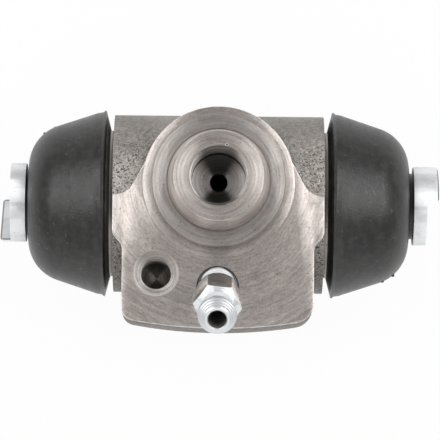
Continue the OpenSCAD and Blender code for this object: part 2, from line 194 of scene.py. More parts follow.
def arcPoints(centre, radius, start, end, count):
    return [(centre[0] + radius * math.cos(math.radians(start + (end - start) * i / count)),
             centre[1] + radius * math.sin(math.radians(start + (end - start) * i / count)))
            for i in range(count + 1)]


def between(a, b, count):
    # the inner points of a straight run in equal parts
    return [(a[0] + (b[0] - a[0]) * i / count, a[1] + (b[1] - a[1]) * i / count) for i in range(1, count)]


def smoothBy(obj, degrees):
    takeUp(obj)
    bpy.ops.object.shade_smooth_by_angle(angle=math.radians(degrees))
    return obj


def sheenRound(obj, middle):
    # the turned sheen runs round the texture space's middle
    obj.data.use_auto_texspace = False
    obj.data.texspace_location, obj.data.texspace_size = middle, (0.05, 0.05, 0.05)


def dress(obj, *materials):
    obj.data.materials.clear()
    for m in materials:
        obj.data.materials.append(m)
    return obj


# shading

class Wire:
    def __init__(self, tree, socket=None):
        self.tree, self.socket = tree, socket

    def add(self, kind, settings=None, sockets=None, out=0):
        node = self.tree.nodes.new(kind)
        for key, value in (settings or {}).items():
            setattr(node, key, value)
        for key, value in (sockets or {}).items():
            if isinstance(value, Wire):
                self.tree.links.new(value.socket, node.inputs[key])
            else:
                node.inputs[key].default_value = value
        return Wire(self.tree, node.outputs[out])

    def math(self, operation, *values):
        return self.add("ShaderNodeMath", {"operation": operation}, dict(enumerate(values)))

    def __add__(self, other):
        return self.math("ADD", self, other)

    def __radd__(self, other):
        return self.math("ADD", other, self)

    def __sub__(self, other):
        return self.math("SUBTRACT", self, other)

    def __rsub__(self, other):
        return self.math("SUBTRACT", other, self)

    def __mul__(self, other):
        return self.math("MULTIPLY", self, other)

    def __rmul__(self, other):
        return self.math("MULTIPLY", other, self)

    def __truediv__(self, other):
        return self.math("DIVIDE", self, other)

    def __rtruediv__(self, other):
        return self.math("DIVIDE", other, self)

    def __pow__(self, other):
        return self.math("POWER", self, other)

    def step(self, low, high):
        return self.add("ShaderNodeMapRange", {"interpolation_type": "SMOOTHSTEP"},
                        {"Value": self, "From Min": low, "From Max": high})

    def noise(self, scale, detail=3.0, rough=0.55, vector=None):
        return self.add("ShaderNodeTexNoise", {"noise_dimensions": "3D"},
                        {"Vector": vector or self, "Scale": scale, "Detail": detail, "Roughness": rough})

    def mix(self, a, b):
        return self.add("ShaderNodeMix", {"data_type": "RGBA", "blend_type": "MIX"},
                        {0: self, 6: a, 7: b}, out=2)

    def bump(self, strength, distance):
        return self.add("ShaderNodeBump", {}, {"Strength": strength, "Distance": distance, "Height": self})


def newMaterial(name, **fixed):
    material = bpy.data.materials.new(name)
    material.use_nodes = True
    tree = material.node_tree
    shader = tree.nodes["Principled BSDF"]
    for key, value in fixed.items():
        shader.inputs[key.replace("_", " ")].default_value = value
    wire = Wire(tree)
    spot = wire.add("ShaderNodeTexCoord", out=3)
    return material, tree, shader, spot


def feed(tree, shader, **wires):
    for key, wire in wires.items():
        tree.links.new(wire.socket, shader.inputs[key.replace("_", " ")])


def parts(spot):
    return [spot.add("ShaderNodeSeparateXYZ", {}, {0: spot}, out=i) for i in range(3)]


def shifted(spot, place, turn=(0, 0, 0)):
    return spot.add("ShaderNodeMapping", {"vector_type": "TEXTURE"},
                    {"Vector": spot, "Location": place, "Rotation": turn})


# place and turn of the axis that a finish is worked about
spigotAxis = ((0, 0, 0), (0, 0, 0))
fixAxis = ((fixX * mm, fixY * mm, 0), (0, 0, 0))
boreAxis = ((0, boreY, boreZ), (0, math.pi / 2, 0))
bleedAxis = (tuple(bleedFoot), (bleedLean, 0, 0))


def sweepNoise(spot, x, y, radius, level, scale, reach, detail):
    # noise in thin arcs about an axis; a small reach makes them long
    across, up = x / radius * (reach * mm), y / radius * (reach * mm)
    along = spot.add("ShaderNodeCombineXYZ", {}, {0: level, 1: across, 2: up})
    return spot.noise(scale, detail, 0.6, vector=along)


def makeCast():
    look = {"dark": (0.04, 0.035, 0.03, 1), "mid": (0.2, 0.183, 0.166, 1), "pale": (0.53, 0.496, 0.458, 1),
            "fleck": (0.8, 0.77, 0.73, 1), "crestShade": (0.2, 0.185, 0.17, 1)}
    material, tree, shader, spot = newMaterial("castSkin", Specular_IOR_Level=0.45, Metallic=0.5)
    grain = spot.noise(4200, 3, 0.65)
    lumps = spot.noise(1500, 3, 0.55)
    broad = spot.noise(140, 3, 0.55)
    pits = spot.noise(3000, 2, 0.5, vector=shifted(spot, (0.01, 0.02, 0.03))).step(0.56, 0.64)
    flecks = spot.noise(3300, 2, 0.5, vector=shifted(spot, (0.03, 0.01, 0.02))).step(0.62, 0.69)
    shade = (grain * 0.5 + lumps * 0.45 + broad * 0.35).step(0.46, 0.84)
    colour = shade.mix(look["mid"], look["pale"])
    x, y, z = parts(spot)
    crestSmoothAndShade = (y - boreY).step(5.5 * mm, 13 * mm)  # fewer pits and flecks up on the crest; its darker tone is painted shade
    colour = (pits * (0.9 - crestSmoothAndShade * 0.6)).mix(colour, look["dark"])
    colour = (flecks * (0.85 - crestSmoothAndShade * 0.65)).mix(colour, look["fleck"])
    # painted shade: the upper barrel is mixed darker
    colour = (crestSmoothAndShade * 0.45).mix(colour, look["crestShade"])
    colour = ((0 - y).step(0.006, 0.014) * 0.5).mix(colour, look["dark"])  # painted shade low on the barrel
    bump = (grain * 0.35 + lumps * 0.7 - pits * 0.5 + flecks * 0.3).bump(0.6, 0.16 * mm)
    feed(tree, shader, Base_Color=colour, Roughness=0.42 + 0.25 * grain, Normal=bump)
    return material


def makeTurned(name, axis, look):
    material, tree, shader, spot = newMaterial(
        name, Metallic=look["metal"], Anisotropic=look["sheen"], Anisotropic_Rotation=0.25)
    local = shifted(spot, *axis)
    x, y, z = parts(local)
    radius = (x * x + y * y) ** 0.5 + 1e-5
    level = radius + z * 0.7 + 1.3 * mm
    rings = sweepNoise(spot, x, y, radius, level, 2300, 0.3, 3)
    arcs = sweepNoise(spot, x, y, radius, level, 3600, 4.2, 4)
    broad = sweepNoise(spot, x, y, radius, level, 700, 1.6, 2)
    grit = spot.noise(3800, 2, 0.6)
    patch = spot.noise(170, 3, 0.6)
    near = 1 - radius.step(8 * mm, 15 * mm)  # rings show more towards the axis
    streak = rings * (0.75 + near * 0.7) + arcs * (0.85 - near * 0.5)
    streak = (streak + broad * 0.28 + grit * (0.6 - near * 0.3)).step(0.76, 1.62)
    colour = streak.mix(look["base"], look["light"])
    colour = (patch.step(0.52, 0.74) * look["soil"]).mix(colour, look["dark"])
    speck = spot.noise(2900, 2, 0.5).step(0.655, 0.7) * spot.noise(240, 2, 0.5).step(0.47, 0.6)
    colour = (speck * 0.8).mix(colour, look["dark"])
    # painted shade: darker sectors above and below the axis, standing in for the turned surface's reflection
    colour = (((y / radius) ** 2).step(0.3, 0.8) * look["sectorShade"]).mix(colour, look["dark"])
    # painted shade on the upper side about the axis
    colour = ((y / radius).step(0.2, 0.95) * look["top"]).mix(colour, look["dark"])
    # painted highlight: pale crescents either side of the axis inside this ring
    low, high = look["paintedGlint"]
    sides = z.math("ABSOLUTE", x / radius).step(0.6, 0.85)
    colour = ((1 - radius.step(low * mm, high * mm)) * sides).mix(colour, look["light"])
    dents = 0.0
    # each dent gets a painted highlight as a pale halo and painted shade in its core, over its bump
    for centre, width in look["dents"]:
        size = width * mm
        away = spot.add("ShaderNodeVectorMath", {"operation": "DISTANCE"},
                        {0: spot, 1: tuple(c * mm for c in centre)}, out=1)
        away = away + (grit - 0.5) * (size * 0.9)
        colour = ((1 - away.step(size * 1.2, size * 1.8)) * 0.6).mix(colour, look["light"])
        colour = (1 - away.step(size * 0.7, size)).mix(colour, look["dark"])
        dents = (1 - away.step(size * 0.4, size * 1.2)) + dents
    wave = z.math("SINE", radius * (2 * math.pi / (look["pitch"] * mm))) * 0.5
    grooves = rings * 0.9 + arcs * 0.8 + grit * 0.45 + wave * look["wave"] - speck * 0.8 - dents * 4.0
    feed(tree, shader, Base_Color=colour, Roughness=look["rough"] + 0.16 * arcs,
         Normal=grooves.bump(1.0, look["depth"] * mm))
    return material


def makeZinc(name, axis, look):
    material, tree, shader, spot = newMaterial(
        name, Metallic=look["metal"], Anisotropic=look["sheen"], Anisotropic_Rotation=0.25)
    local = shifted(spot, *axis)
    x, y, z = parts(local)
    radius = (x * x + y * y) ** 0.5
    tool = local.add("ShaderNodeCombineXYZ", {}, {0: radius, 2: z})
    marks = local.noise(2600, 2, 0.5, vector=tool)
    fine = local.noise(9000, 1, 0.5, vector=tool)
    cloud = spot.noise(420, 3, 0.55)
    colour = (cloud.step(0.45, 0.78) * 0.6).mix(look["base"], look["dull"])
    stain = spot.noise(1500, 2, 0.5).step(0.69, 0.75)
    colour = (stain * 0.5).mix(colour, look["stain"])
    height, side = parts(spot)[1], radius.step(6.4 * mm, 6.6 * mm)
    for level, width, share in look["bands"]:  # painted reflection: dark lines along the head's side
        line = 1 - z.math("ABSOLUTE", height - (boreY + level * mm)).step(width * 0.3 * mm, width * mm)
        colour = (line * side * share * (0.4 + marks * 1.2)).mix(colour, look["band"])
    low, high = look["rimShade"]  # painted shade past this radius or station
    outside = radius.step(low * mm, (low + 0.2) * mm)
    beyond = z.math("ABSOLUTE", z).step(high * mm, (high + 0.15) * mm)
    colour = (z.math("MAXIMUM", outside, beyond) * 0.8).mix(colour, look["edge"])
    ripple = z.math("SINE", z * (2 * math.pi / (look["pitch"] * mm))) * 0.5
    relief = ripple * 1.2 + marks * 1.2 + fine * 0.5 + spot.noise(2500, 2, 0.5) * 0.3
    feed(tree, shader, Base_Color=colour, Roughness=look["rough"] + 0.12 * cloud,
         Normal=relief.bump(1.0, look["depth"] * mm))
    return material


def makeRubber(name, base, lift):
    material, tree, shader, spot = newMaterial(name, Specular_IOR_Level=0.6)
    cloud = spot.noise(130, 4, 0.6)
    grain = spot.noise(3400, 3, 0.6)
    local = shifted(spot, *boreAxis)
    x, y, z = parts(local)
    radius = (x * x + y * y) ** 0.5 + 1e-5
    smear = sweepNoise(spot, x, y, radius, z, 900, 1.6, 4)  # wiped round the boot
    scuff = spot.noise(1100, 4, 0.7)
    mottle = spot.noise(620, 4, 0.65)
    dust = scuff.step(0.55, 0.74) * smear.step(0.42, 0.66)
    pale = tuple(c * lift for c in base[:3]) + (1,)
    wear = cloud.step(0.3, 0.7) * 0.25 + smear.step(0.35, 0.75) * 0.35 + mottle.step(0.42, 0.62) * 0.45
    colour = (wear + dust * 0.4 - 0.2).mix(base, pale)
    speck = spot.noise(2600, 1, 0.4).step(0.74, 0.79)
    across = spot.add("ShaderNodeCombineXYZ", {}, {0: x, 1: y * 0.25, 2: z + y * 0.3})
    aslant = spot.add("ShaderNodeCombineXYZ", {}, {0: x, 1: y - z * 0.6, 2: z * 0.3 + 0.02})
    first, second = (local.noise(1500, 1, 0.5, vector=way).step(0.71, 0.76) for way in (across, aslant))
    scrape = (first + second) * cloud.step(0.42, 0.55)  # short light scratches
    colour = (speck * 0.22 + scrape * (scuff * 0.3)).mix(colour, (0.3, 0.29, 0.28, 1))
    relief = grain * 0.6 + scuff * 0.9 + smear * 0.8 + mottle * 1.4
    feed(tree, shader, Base_Color=colour, Roughness=0.2 + 0.2 * smear + 0.14 * mottle + dust * 0.2,
         Normal=relief.bump(0.8, 0.05 * mm))
    return material


castSkin = makeCast()

# turned iron
faceLook = {"base": (0.38, 0.336, 0.312, 1), "light": (0.78, 0.712, 0.672, 1), "dark": (0.13, 0.115, 0.105, 1),
            "metal": 0.92, "sheen": 0.78, "rough": 0.27, "depth": 0.013, "pitch": 0.17, "wave": 0.0,
            "soil": 0.25, "sectorShade": 0.0, "top": 0.0, "paintedGlint": (0.01, 0.02), "dents": ()}
faceDents = (((1.3, 5.15, 9), 0.22), ((3.45, 5.4, 9), 0.11), ((-10.2, -5.3, 0), 0.16),
             ((-0.75, 5.55, 9), 0.09), ((4.6, -15.2, -0.1), 0.1))  # place and size in mm
stepLook = dict(faceLook, base=(0.29, 0.268, 0.252, 1), light=(0.54, 0.503, 0.478, 1), rough=0.34, sheen=0.55)
sinkLook = dict(faceLook, base=(0.36, 0.33, 0.31, 1), light=(0.95, 0.9, 0.87, 1), dark=(0.2, 0.18, 0.165, 1),
                metal=0.4, sheen=0.0, rough=0.4, depth=0.02, wave=1.2, soil=0.6, sectorShade=0.2, top=0.55)
wallLook = dict(faceLook, base=(0.3, 0.275, 0.255, 1), light=(0.55, 0.51, 0.48, 1),
                dark=(0.05, 0.046, 0.042, 1), sheen=0.0, rough=0.35, sectorShade=0.8)
boreLook = dict(faceLook, base=(0.2, 0.182, 0.167, 1), light=(0.36, 0.33, 0.305, 1),
                dark=(0.04, 0.036, 0.032, 1), sheen=0.0)
portLook = dict(faceLook, base=(0.48, 0.445, 0.42, 1), light=(0.9, 0.85, 0.81, 1),
                dark=(0.07, 0.066, 0.059, 1), sheen=0.97, rough=0.36, soil=0.0, sectorShade=0.92, paintedGlint=(2.1, 2.25))
floorLook = dict(faceLook, base=(0.45, 0.42, 0.39, 1), light=(0.98, 0.94, 0.9, 1),
                 dark=(0.17, 0.155, 0.14, 1), sheen=0.0, rough=0.4, soil=0.0, sectorShade=0.85)
holeLook = dict(faceLook, base=(0.26, 0.243, 0.225, 1), light=(0.36, 0.335, 0.31, 1),
                dark=(0.04, 0.036, 0.032, 1), sheen=0.0)
# a paler copy of the turned iron for the face's bevelled rim: painted edge highlight
edgeHighlightLook = dict(faceLook, base=(0.5, 0.47, 0.45, 1), light=(0.88, 0.84, 0.81, 1),
                sheen=0.0, rough=0.42, soil=0.6)
drillShadeLook = dict(holeLook, base=(0.2, 0.2, 0.19, 1), light=(0.34, 0.34, 0.325, 1),
                 dark=(0.06, 0.06, 0.06, 1), metal=0.4)
# near black, for painted shade in grooves, recesses and shadow lines
shadeLook = dict(holeLook, base=(0.02, 0.02, 0.02, 1), light=(0.035, 0.035, 0.035, 1),
                dark=(0.01, 0.01, 0.01, 1), metal=0.0)
turnedFace = makeTurned("turnedFace", spigotAxis, dict(faceLook, dents=faceDents))
turnedSink = makeTurned("turnedSink", fixAxis, sinkLook)
turnedStep = makeTurned("turnedStep", spigotAxis, stepLook)
portWall = makeTurned("portWall", spigotAxis, wallLook)
edgeHighlight = makeTurned("edgeHighlight", spigotAxis, edgeHighlightLook)
turnedBore = makeTurned("turnedBore", boreAxis, boreLook)
portIron = makeTurned("portIron", spigotAxis, portLook)
drillFloor = makeTurned("drillFloor", fixAxis, floorLook)
holeIron = makeTurned("holeIron", fixAxis, holeLook)
drillShade = makeTurned("drillShade", bleedAxis, drillShadeLook)
paintedShade = makeTurned("paintedShade", boreAxis, shadeLook)

# plated and spring steel
zincLook = {"base": (0.86, 0.88, 0.9, 1), "dull": (0.7, 0.72, 0.74, 1), "stain": (0.45, 0.45, 0.45, 1),
            "band": (0.2, 0.2, 0.21, 1), "edge": (0.12, 0.12, 0.12, 1), "metal": 1.0, "sheen": 0.0,
            "rough": 0.36, "depth": 0.009, "pitch": 0.21, "bands": (), "rimShade": (90, 90)}
headLook = dict(zincLook, base=(0.95, 0.96, 0.975, 1), metal=0.86, sheen=0.65, rough=0.5,
                bands=((4.4, 1.0, 0.14), (1.9, 0.35, 0.08), (-1.0, 0.5, 0.2)))  # height, width, share
# a darker copy of the zinc for the tongue's cut flat: painted shade, with a painted dark rim
flatShadeLook = dict(zincLook, base=(0.74, 0.75, 0.765, 1), dull=(0.56, 0.57, 0.58, 1), rimShade=(6.3, 36.72))
# near black, for the heads' bevelled rims: painted shade
edgeShadeLook = dict(zincLook, base=(0.2, 0.2, 0.2, 1), dull=(0.12, 0.12, 0.12, 1))
screwLook = dict(zincLook, base=(0.74, 0.76, 0.775, 1), dull=(0.6, 0.62, 0.635, 1))
# a smoother copy for the hexagon's flats, painted darker: a painted dark reflection
flatReflectionLook = dict(zincLook, base=(0.6, 0.615, 0.6, 1), dull=(0.4, 0.41, 0.4, 1), depth=0.005, rough=0.16)
mattLook = dict(zincLook, metal=0.3, rough=0.45)
springLook = dict(zincLook, base=(0.5, 0.5, 0.52, 1), dull=(0.36, 0.36, 0.38, 1))
zincPiston = makeZinc("zincPiston", boreAxis, headLook)
zincBleeder = makeZinc("zincBleeder", bleedAxis, screwLook)
zincShadedFlat = makeZinc("zincShadedFlat", boreAxis, flatShadeLook)
zincEdgeShade = makeZinc("zincEdgeShade", boreAxis, edgeShadeLook)
zincFlatReflection = makeZinc("zincFlatReflection", bleedAxis, flatReflectionLook)
zincMatt = makeZinc("zincMatt", bleedAxis, mattLook)
springSteel = makeZinc("springSteel", boreAxis, springLook)

bootRubber = makeRubber("bootRubber", (0.0066, 0.0063, 0.0059, 1), 4.6)
# a paler rubber, painted light on the left boot's shaded flank
litFlankRubber = makeRubber("litFlankRubber", (0.07, 0.066, 0.062, 1), 3.0)
sealRubber = makeRubber("sealRubber", (0.026, 0.026, 0.029, 1), 1.4)
print("finishes ready")


# casting

castSet = {"spigotR": 11, "spigotTop": 3, "landR": 12.7, "bossR": 7.496, "bossTop": 9, "mouthR": 4.7,
           "end": 17.7, "dissolve": 0.4, "bossEdge": 0.14, "turnedEdge": 0.09, "faceEdge": 0.15,
           "rightEnd": 0.25, "leftEnd": 0.5, "mouth": 0.3,
           "undercut": (0.24, 2.05, 5.2), "seatFloor": (-1.62, -1.0, 2.1),
           "reliefs": ((11.0, 0.0, 0.16, 0.1), (8.5, 3.0, 0.14, 0.12)), "reliefDrop": 0.07,
           "portThread": (4.5, 1.0, 1.6, 8.6), "fixThread": (2.5, 1.0, -9.0, -1.1)}


def makeCasting():
    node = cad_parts["cylinder_body"]
    obj = bpy.data.objects.new("castBody", node.data.copy())
    bpy.context.scene.collection.objects.link(obj)
    editing(obj)
    bpy.ops.mesh.select_all(action="SELECT")
    bpy.ops.mesh.customdata_custom_splitnormals_clear()
    bpy.ops.mesh.remove_doubles(threshold=1e-6)
    bpy.ops.mesh.dissolve_limited(angle_limit=math.radians(castSet["dissolve"]))
    doneEditing()
    return obj


def bevelWhere(obj, test, width, steps):
    editing(obj)
    count = pick(obj, "EDGE", lambda e: len(e.link_faces) == 2 and test(e))
    if count:
        bpy.ops.mesh.bevel(offset=width * mm, offset_type="OFFSET", segments=steps, profile=0.5,
                           affect="EDGES", clamp_overlap=True)
    doneEditing()
    return count


def sharp(e, degrees=20):
    return e.calc_face_angle(0) > math.radians(degrees)


def ends(e):
    return [v.co / mm for v in e.verts]


def onRing(e, radius, height, slack=0.06):
    return all(abs(math.hypot(p.x, p.y) - radius) < slack and abs(p.z - height) < slack for p in ends(e))


def bossRim(e):
    return onRing(e, castSet["bossR"], castSet["bossTop"])


def portMouth(e):
    return onRing(e, castSet["mouthR"], castSet["bossTop"])


def turnedRims(e):
    return onRing(e, castSet["spigotR"], castSet["spigotTop"]) or onRing(e, castSet["landR"], 0)


def faceRim(e):
    # where the flange's face meets its cast sides
    spots = ends(e)
    if not sharp(e, 40) or any(abs(p.z - plateZ / mm) > 0.02 for p in spots):
        return False
    if all(math.hypot(p.x, p.y) < castSet["landR"] + 0.1 for p in spots):
        return False
    return all(offFix(p) > 4.2 and math.hypot(p.x, p.y + 17.5) > 4.4 for p in spots)


def endRim(side):
    # the outer edge of one end face of the barrel
    def test(e):
        atEnd = all(abs(p.x - side * castSet["end"]) < 0.02 and offBore(p) > 14 for p in ends(e))
        return atEnd and sharp(e, 40)
    return test


def makeThread(name, core, pitch, low, high, place):
    # a helical ridge that cuts one thread groove
    depth = 0.54 * pitch
    obj = drawLine(name, [(core - 0.15, low), (core + depth, low + 0.4 * pitch),
                          (core + depth, low + 0.48 * pitch), (core - 0.15, low + 0.88 * pitch)], closed=True)
    doneEditing()
    turns = int((high - low) / pitch)
    applied(obj, "SCREW", axis="Z", angle=2 * math.pi, screw_offset=pitch * mm, iterations=turns, steps=48,
            render_steps=48, use_merge_vertices=True, merge_threshold=1e-7)
    return settle(closeUp(obj), place=place)


def ringTool(name, inner, outer, first, last, around):
    corners = [(inner, first), (outer, first), (outer, last), (inner, last)]
    return turnedPiece(name, corners, around, closed=True)


def cut(obj, tool, operation="DIFFERENCE", solver="EXACT"):
    applied(obj, "BOOLEAN", operation=operation, solver=solver, object=tool)
    bpy.data.objects.remove(tool)
    return obj


castFinishes = {"skin": castSkin, "face": turnedFace, "sink": turnedSink, "bore": turnedBore,
                "tapped": holeIron, "seat": portIron, "edge": edgeHighlight, "step": turnedStep, "wall": portWall,
                "shade": paintedShade, "drilled": drillFloor}


def finishOf(mesh, f):
    c, n = f.center / mm, f.normal
    corners = [mesh.vertices[i].co / mm for i in f.vertices]
    fromSpigot = max(math.hypot(v.x, v.y) for v in corners)
    fromFix = max(offFix(v) for v in corners)
    fromBore = max(offBore(v) for v in corners)
    fromBleed = max(offBleed(v - bleedFoot / mm) for v in corners)
    if 2.6 < fromFix < 3.95 and c.z > -1.55:
        return "sink"
    # painted shade round the bleed screw's hole
    if fromBleed < 3.8 and -13 < c.z < -0.1 and n.z < 0.98:
        return "shade"
    if fromFix < 4 and -12 < c.z < -0.2:
        return "drilled" if c.z < -8.6 and 0.2 < n.z and fromFix < 2.75 else "tapped"
    if fromSpigot < 5.35 and -12 < c.z < 8.99:  # inside the port
        # the thread relief above the seat gets painted shade
        if n.z > 0.3 and c.z < 0.25:
            return "shade" if fromSpigot > 4.6 else "seat"
        return "tapped" if c.z < 0.1 else "shade" if fromSpigot > 4.55 and c.z < 2.2 else "wall"
    # the face's bevelled rim: a painted shadow line along the upper neck edges, painted highlight elsewhere
    bevelled = abs(c.z - plateZ / mm) < 0.3 and 0.25 < n.z < 0.97
    if bevelled and fromSpigot > 12.5 and (fromSpigot > 12.8 or c.y > 5.4):
        return "shade" if c.y > -1 and abs(c.x) > 8 and n.z < 0.85 else "edge"
    if 0.05 < c.z < 3.1 and fromSpigot < 11.3:
        return "step"
    if c.z > -0.3 and (n.z > 0.9995 or fromSpigot < 12.75):
        return "face"
    bootSeat = abs(c.x) > 17.15 and (abs(n.x) > 0.4 or abs(c.x) > 17.75)
    return "bore" if fromBore < 9.7 or bootSeat else "skin"


castBody = makeCasting()
castEdges = ((bossRim, "bossEdge", 3), (turnedRims, "turnedEdge", 2), (faceRim, "faceEdge", 2),
             (endRim(1), "rightEnd", 2), (endRim(-1), "leftEnd", 2), (portMouth, "mouth", 3))
print("casting edges", [bevelWhere(castBody, test, castSet[width], steps) for test, width, steps in castEdges])
low, high, radius = castSet["undercut"]  # thread relief above the pipe seat
cut(castBody, ringTool("undercut", 4.3, radius, low, high, 128))
low, high, radius = castSet["seatFloor"]  # flat round the feed hole
cut(castBody, ringTool("seatFloor", 1.2, radius, low, high, 96))
for foot, height, width, sink in castSet["reliefs"]:
    ring = ringTool("relief", foot - 0.1, foot + width, height + 0.02, height - sink, 192)
    cut(castBody, settle(ring, place=(0, -castSet["reliefDrop"] * mm, 0)))
cut(castBody, makeThread("portTap", *castSet["portThread"], (0, 0, 0)))
cut(castBody, makeThread("fixTap", *castSet["fixThread"], (fixX * mm, fixY * mm, plateZ)))
dress(castBody, *castFinishes.values())
finishNames = list(castFinishes)
for polygon in castBody.data.polygons:
    polygon.material_index = finishNames.index(finishOf(castBody.data, polygon))
sheenRound(castBody, (0, 0, 0))
smoothBy(castBody, 28)
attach(castBody, "cylinder")
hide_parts("cylinder_body")
print("casting", len(castBody.data.polygons))


# dust boots

bootSet = {"rimX": 19.2, "rimR": 15.85, "footX": 18.35, "footR": 12.48, "cone": 18.3, "shoulderR": 7.1,
           "face": 32.28, "bead": 5.68, "wall": 1.3, "noseR": 6.78, "noseX": 30.98, "webX": 20.82,
           "seatR": 11.48, "neckX": 18.98, "around": 176, "nubs": (27.97, 29.75), "nub": 0.3,
           "nubLength": 1.6, "nubLean": 28, "nubSink": 0.82}


def bootProfile(s):
    rimR, rimX, foot = s["rimR"], s["rimX"], (s["footR"], s["footX"])
    slope = math.tan(math.radians(s["cone"]))
    level = rimR - (s["face"] - rimX) * slope - s["shoulderR"] * math.tan(math.radians(45 - s["cone"] / 2))
    middle = (level, s["face"] - s["shoulderR"])
    inner = s["shoulderR"] - s["wall"]
    lead = middle[0] + inner * math.cos(math.radians(s["cone"]))
    leadX = middle[1] + inner * math.sin(math.radians(s["cone"]))
    tip = [(rimR - 0.12, rimX - 0.02), (rimR, rimX + 0.08), (rimR - 0.06, rimX + 0.22),
           (rimR - 0.3, rimX + 0.48), (rimR - 0.34, rimX + 0.6)]  # a flash lip with a dip behind it
    outer = arcPoints(middle, s["shoulderR"], s["cone"], 90, 22)
    cone = between((rimR - 0.85 * slope, rimX + 0.85), outer[0], 14)
    lip = [(s["bead"] + 0.25, s["face"]), (s["bead"], s["face"] - 0.25)]
    back = [(s["bead"], s["noseX"]), (s["noseR"], s["noseX"])]
    insideArc = arcPoints(middle, inner, 90, s["cone"], 14)
    webR = lead + (leadX - s["webX"]) * slope
    seat = [(webR, s["webX"]), (s["seatR"], s["webX"]), (s["seatR"], s["neckX"]),
            (s["footR"], s["neckX"]), foot]
    return tip + cone + outer + lip + back + insideArc + seat + between(foot, tip[0], 6)


def makeNub(side, x, reach):
    # a pip left by one of the mould's vents
    bpy.ops.object.select_all(action="DESELECT")
    bpy.ops.mesh.primitive_cylinder_add(vertices=14, radius=bootSet["nub"] * mm,
                                        depth=bootSet["nubLength"] * mm)
    nub = bpy.context.object
    editing(nub)
    pick(nub, "FACE", lambda f: f.normal.z > 0.9)
    bpy.ops.mesh.inset(thickness=0.12 * mm)
    bpy.ops.transform.translate(value=(0, 0, 0.1 * mm))
    doneEditing()
    turn = (side * math.pi / 2, -side * math.radians(bootSet["nubLean"]), 0)
    return settle(nub, turn, (x, boreY - side * (reach - bootSet["nubSink"] * mm), boreZ))


def makeBoot(name, side):
    boot = turnedPiece(name, bootProfile(bootSet), bootSet["around"], closed=True)
    settle(boot, (0, side * math.pi / 2, 0), (0, boreY, boreZ))
    for station in bootSet["nubs"]:
        x = side * station * mm
        reach = max(math.hypot(v.co.y - boreY, v.co.z - boreZ) for v in boot.data.vertices
                    if abs(v.co.x - x) < 0.5 * mm)
        cut(boot, makeNub(side, x, reach), "UNION", "MANIFOLD")
    smoothBy(boot, 40)
    dress(boot, bootRubber, litFlankRubber)
    for polygon in boot.data.polygons:  # the left foot's flank beside the barrel gets a paler rubber: painted light
        c = polygon.center / mm
        flank = abs(c.x) < bootSet["rimX"] - 0.25 and offBore(c) < bootSet["rimR"] - 1.3
        polygon.material_index = int(flank and side < 0)
    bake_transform(boot)
    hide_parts("right_dust_boot" if side > 0 else "left_dust_boot")
    return boot


leftBoot = makeBoot("leftBoot", -1)
rightBoot = makeBoot("rightBoot", 1)
print("boots", len(rightBoot.data.polygons))


# pistons

# pairs are the left piston's and the right one's
pistonSet = {"start": 8.4, "landEnd": 21.2, "landR": 9.495, "noseR": 6.7, "grooveIn": 30.9,
             "grooveOut": (32.62, 33.02), "grooveR": 5.6, "seat": 35.25, "ends": (37.02, 37.25), "tip": 0.6,
             "flat": 3.7, "turns": (224, 32), "edge": 0.22, "around": 160}


def makePiston(name, side):
    s = pistonSet
    grooveOut, end, turn = (s[key][0 if side < 0 else 1] for key in ("grooveOut", "ends", "turns"))
    profile = rounded([(0, s["start"]), (s["landR"], s["start"]), (s["landR"], s["landEnd"]),
                       (s["noseR"], s["landEnd"]), (s["noseR"], s["grooveIn"]), (s["grooveR"], s["grooveIn"]),
                       (s["grooveR"], grooveOut), (s["noseR"], grooveOut), (s["noseR"], s["seat"])], 0.16, 3)
    profile += arcPoints((s["noseR"] - s["tip"], end - s["tip"]), s["tip"], 0, 90, 7) + [(0, end)]
    piston = turnedPiece(name, profile, s["around"])
    bpy.ops.object.select_all(action="DESELECT")
    bpy.ops.mesh.primitive_cube_add(size=1)
    block = bpy.context.object
    bpy.ops.object.mode_set(mode="EDIT")
    bpy.ops.transform.resize(value=(40 * mm, 40 * mm, 20 * mm))
    bpy.ops.transform.translate(value=(0, (s["flat"] - 20) * mm, (s["seat"] + 10) * mm))
    doneEditing()
    settle(block, (0, 0, math.radians(turn)))
    cut(piston, block)
    bevelWhere(piston, lambda e: sharp(e, 40) and all(p.z > s["seat"] - 0.05 for p in ends(e)), s["edge"], 3)
    settle(piston, (0, math.pi / 2, 0), (0, boreY, boreZ))
    if side < 0:  # the left one is its opposite number
        editing(piston)
        bpy.ops.mesh.select_all(action="SELECT")
        bpy.ops.transform.mirror(constraint_axis=(True, False, False), center_override=(0, 0, 0))
        bpy.ops.mesh.normals_make_consistent(inside=False)
        doneEditing()
    sheenRound(piston, (0, boreY, boreZ))
    smoothBy(piston, 30)
    dress(piston, zincPiston, paintedShade, zincShadedFlat, zincEdgeShade)
    lean = Vector((0, math.cos(math.radians(turn)), math.sin(math.radians(turn))))
    for polygon in piston.data.polygons:
        c, out = polygon.center / mm, abs(polygon.normal.x)
        inGroove = s["grooveIn"] - 0.1 < abs(c.x) < grooveOut + 0.03 and offBore(c) < s["noseR"] - 0.02  # painted shade in the boot's groove
        facing = polygon.normal.dot(lean)
        onTongue = abs(c.x) > s["seat"] + 0.03
        headRim = s["seat"] - 0.25 < abs(c.x) < s["seat"] + 0.03 and 0.3 < out < 0.97
        tongueRim = abs(c.x) > end - 0.25 and out < 0.97
        # the bevelled rims get the painted shade
        edge = headRim or tongueRim or onTongue and facing < -0.25
        polygon.material_index = 1 if inGroove else 2 if onTongue and facing < -0.97 else 3 if edge else 0
    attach(piston, "right_piston_set" if side > 0 else "left_piston_set")
    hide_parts("right_piston" if side > 0 else "left_piston")
    return piston


leftPiston = makePiston("leftPiston", -1)
rightPiston = makePiston("rightPiston", 1)
print("pistons", len(rightPiston.data.polygons))


# bleed screw

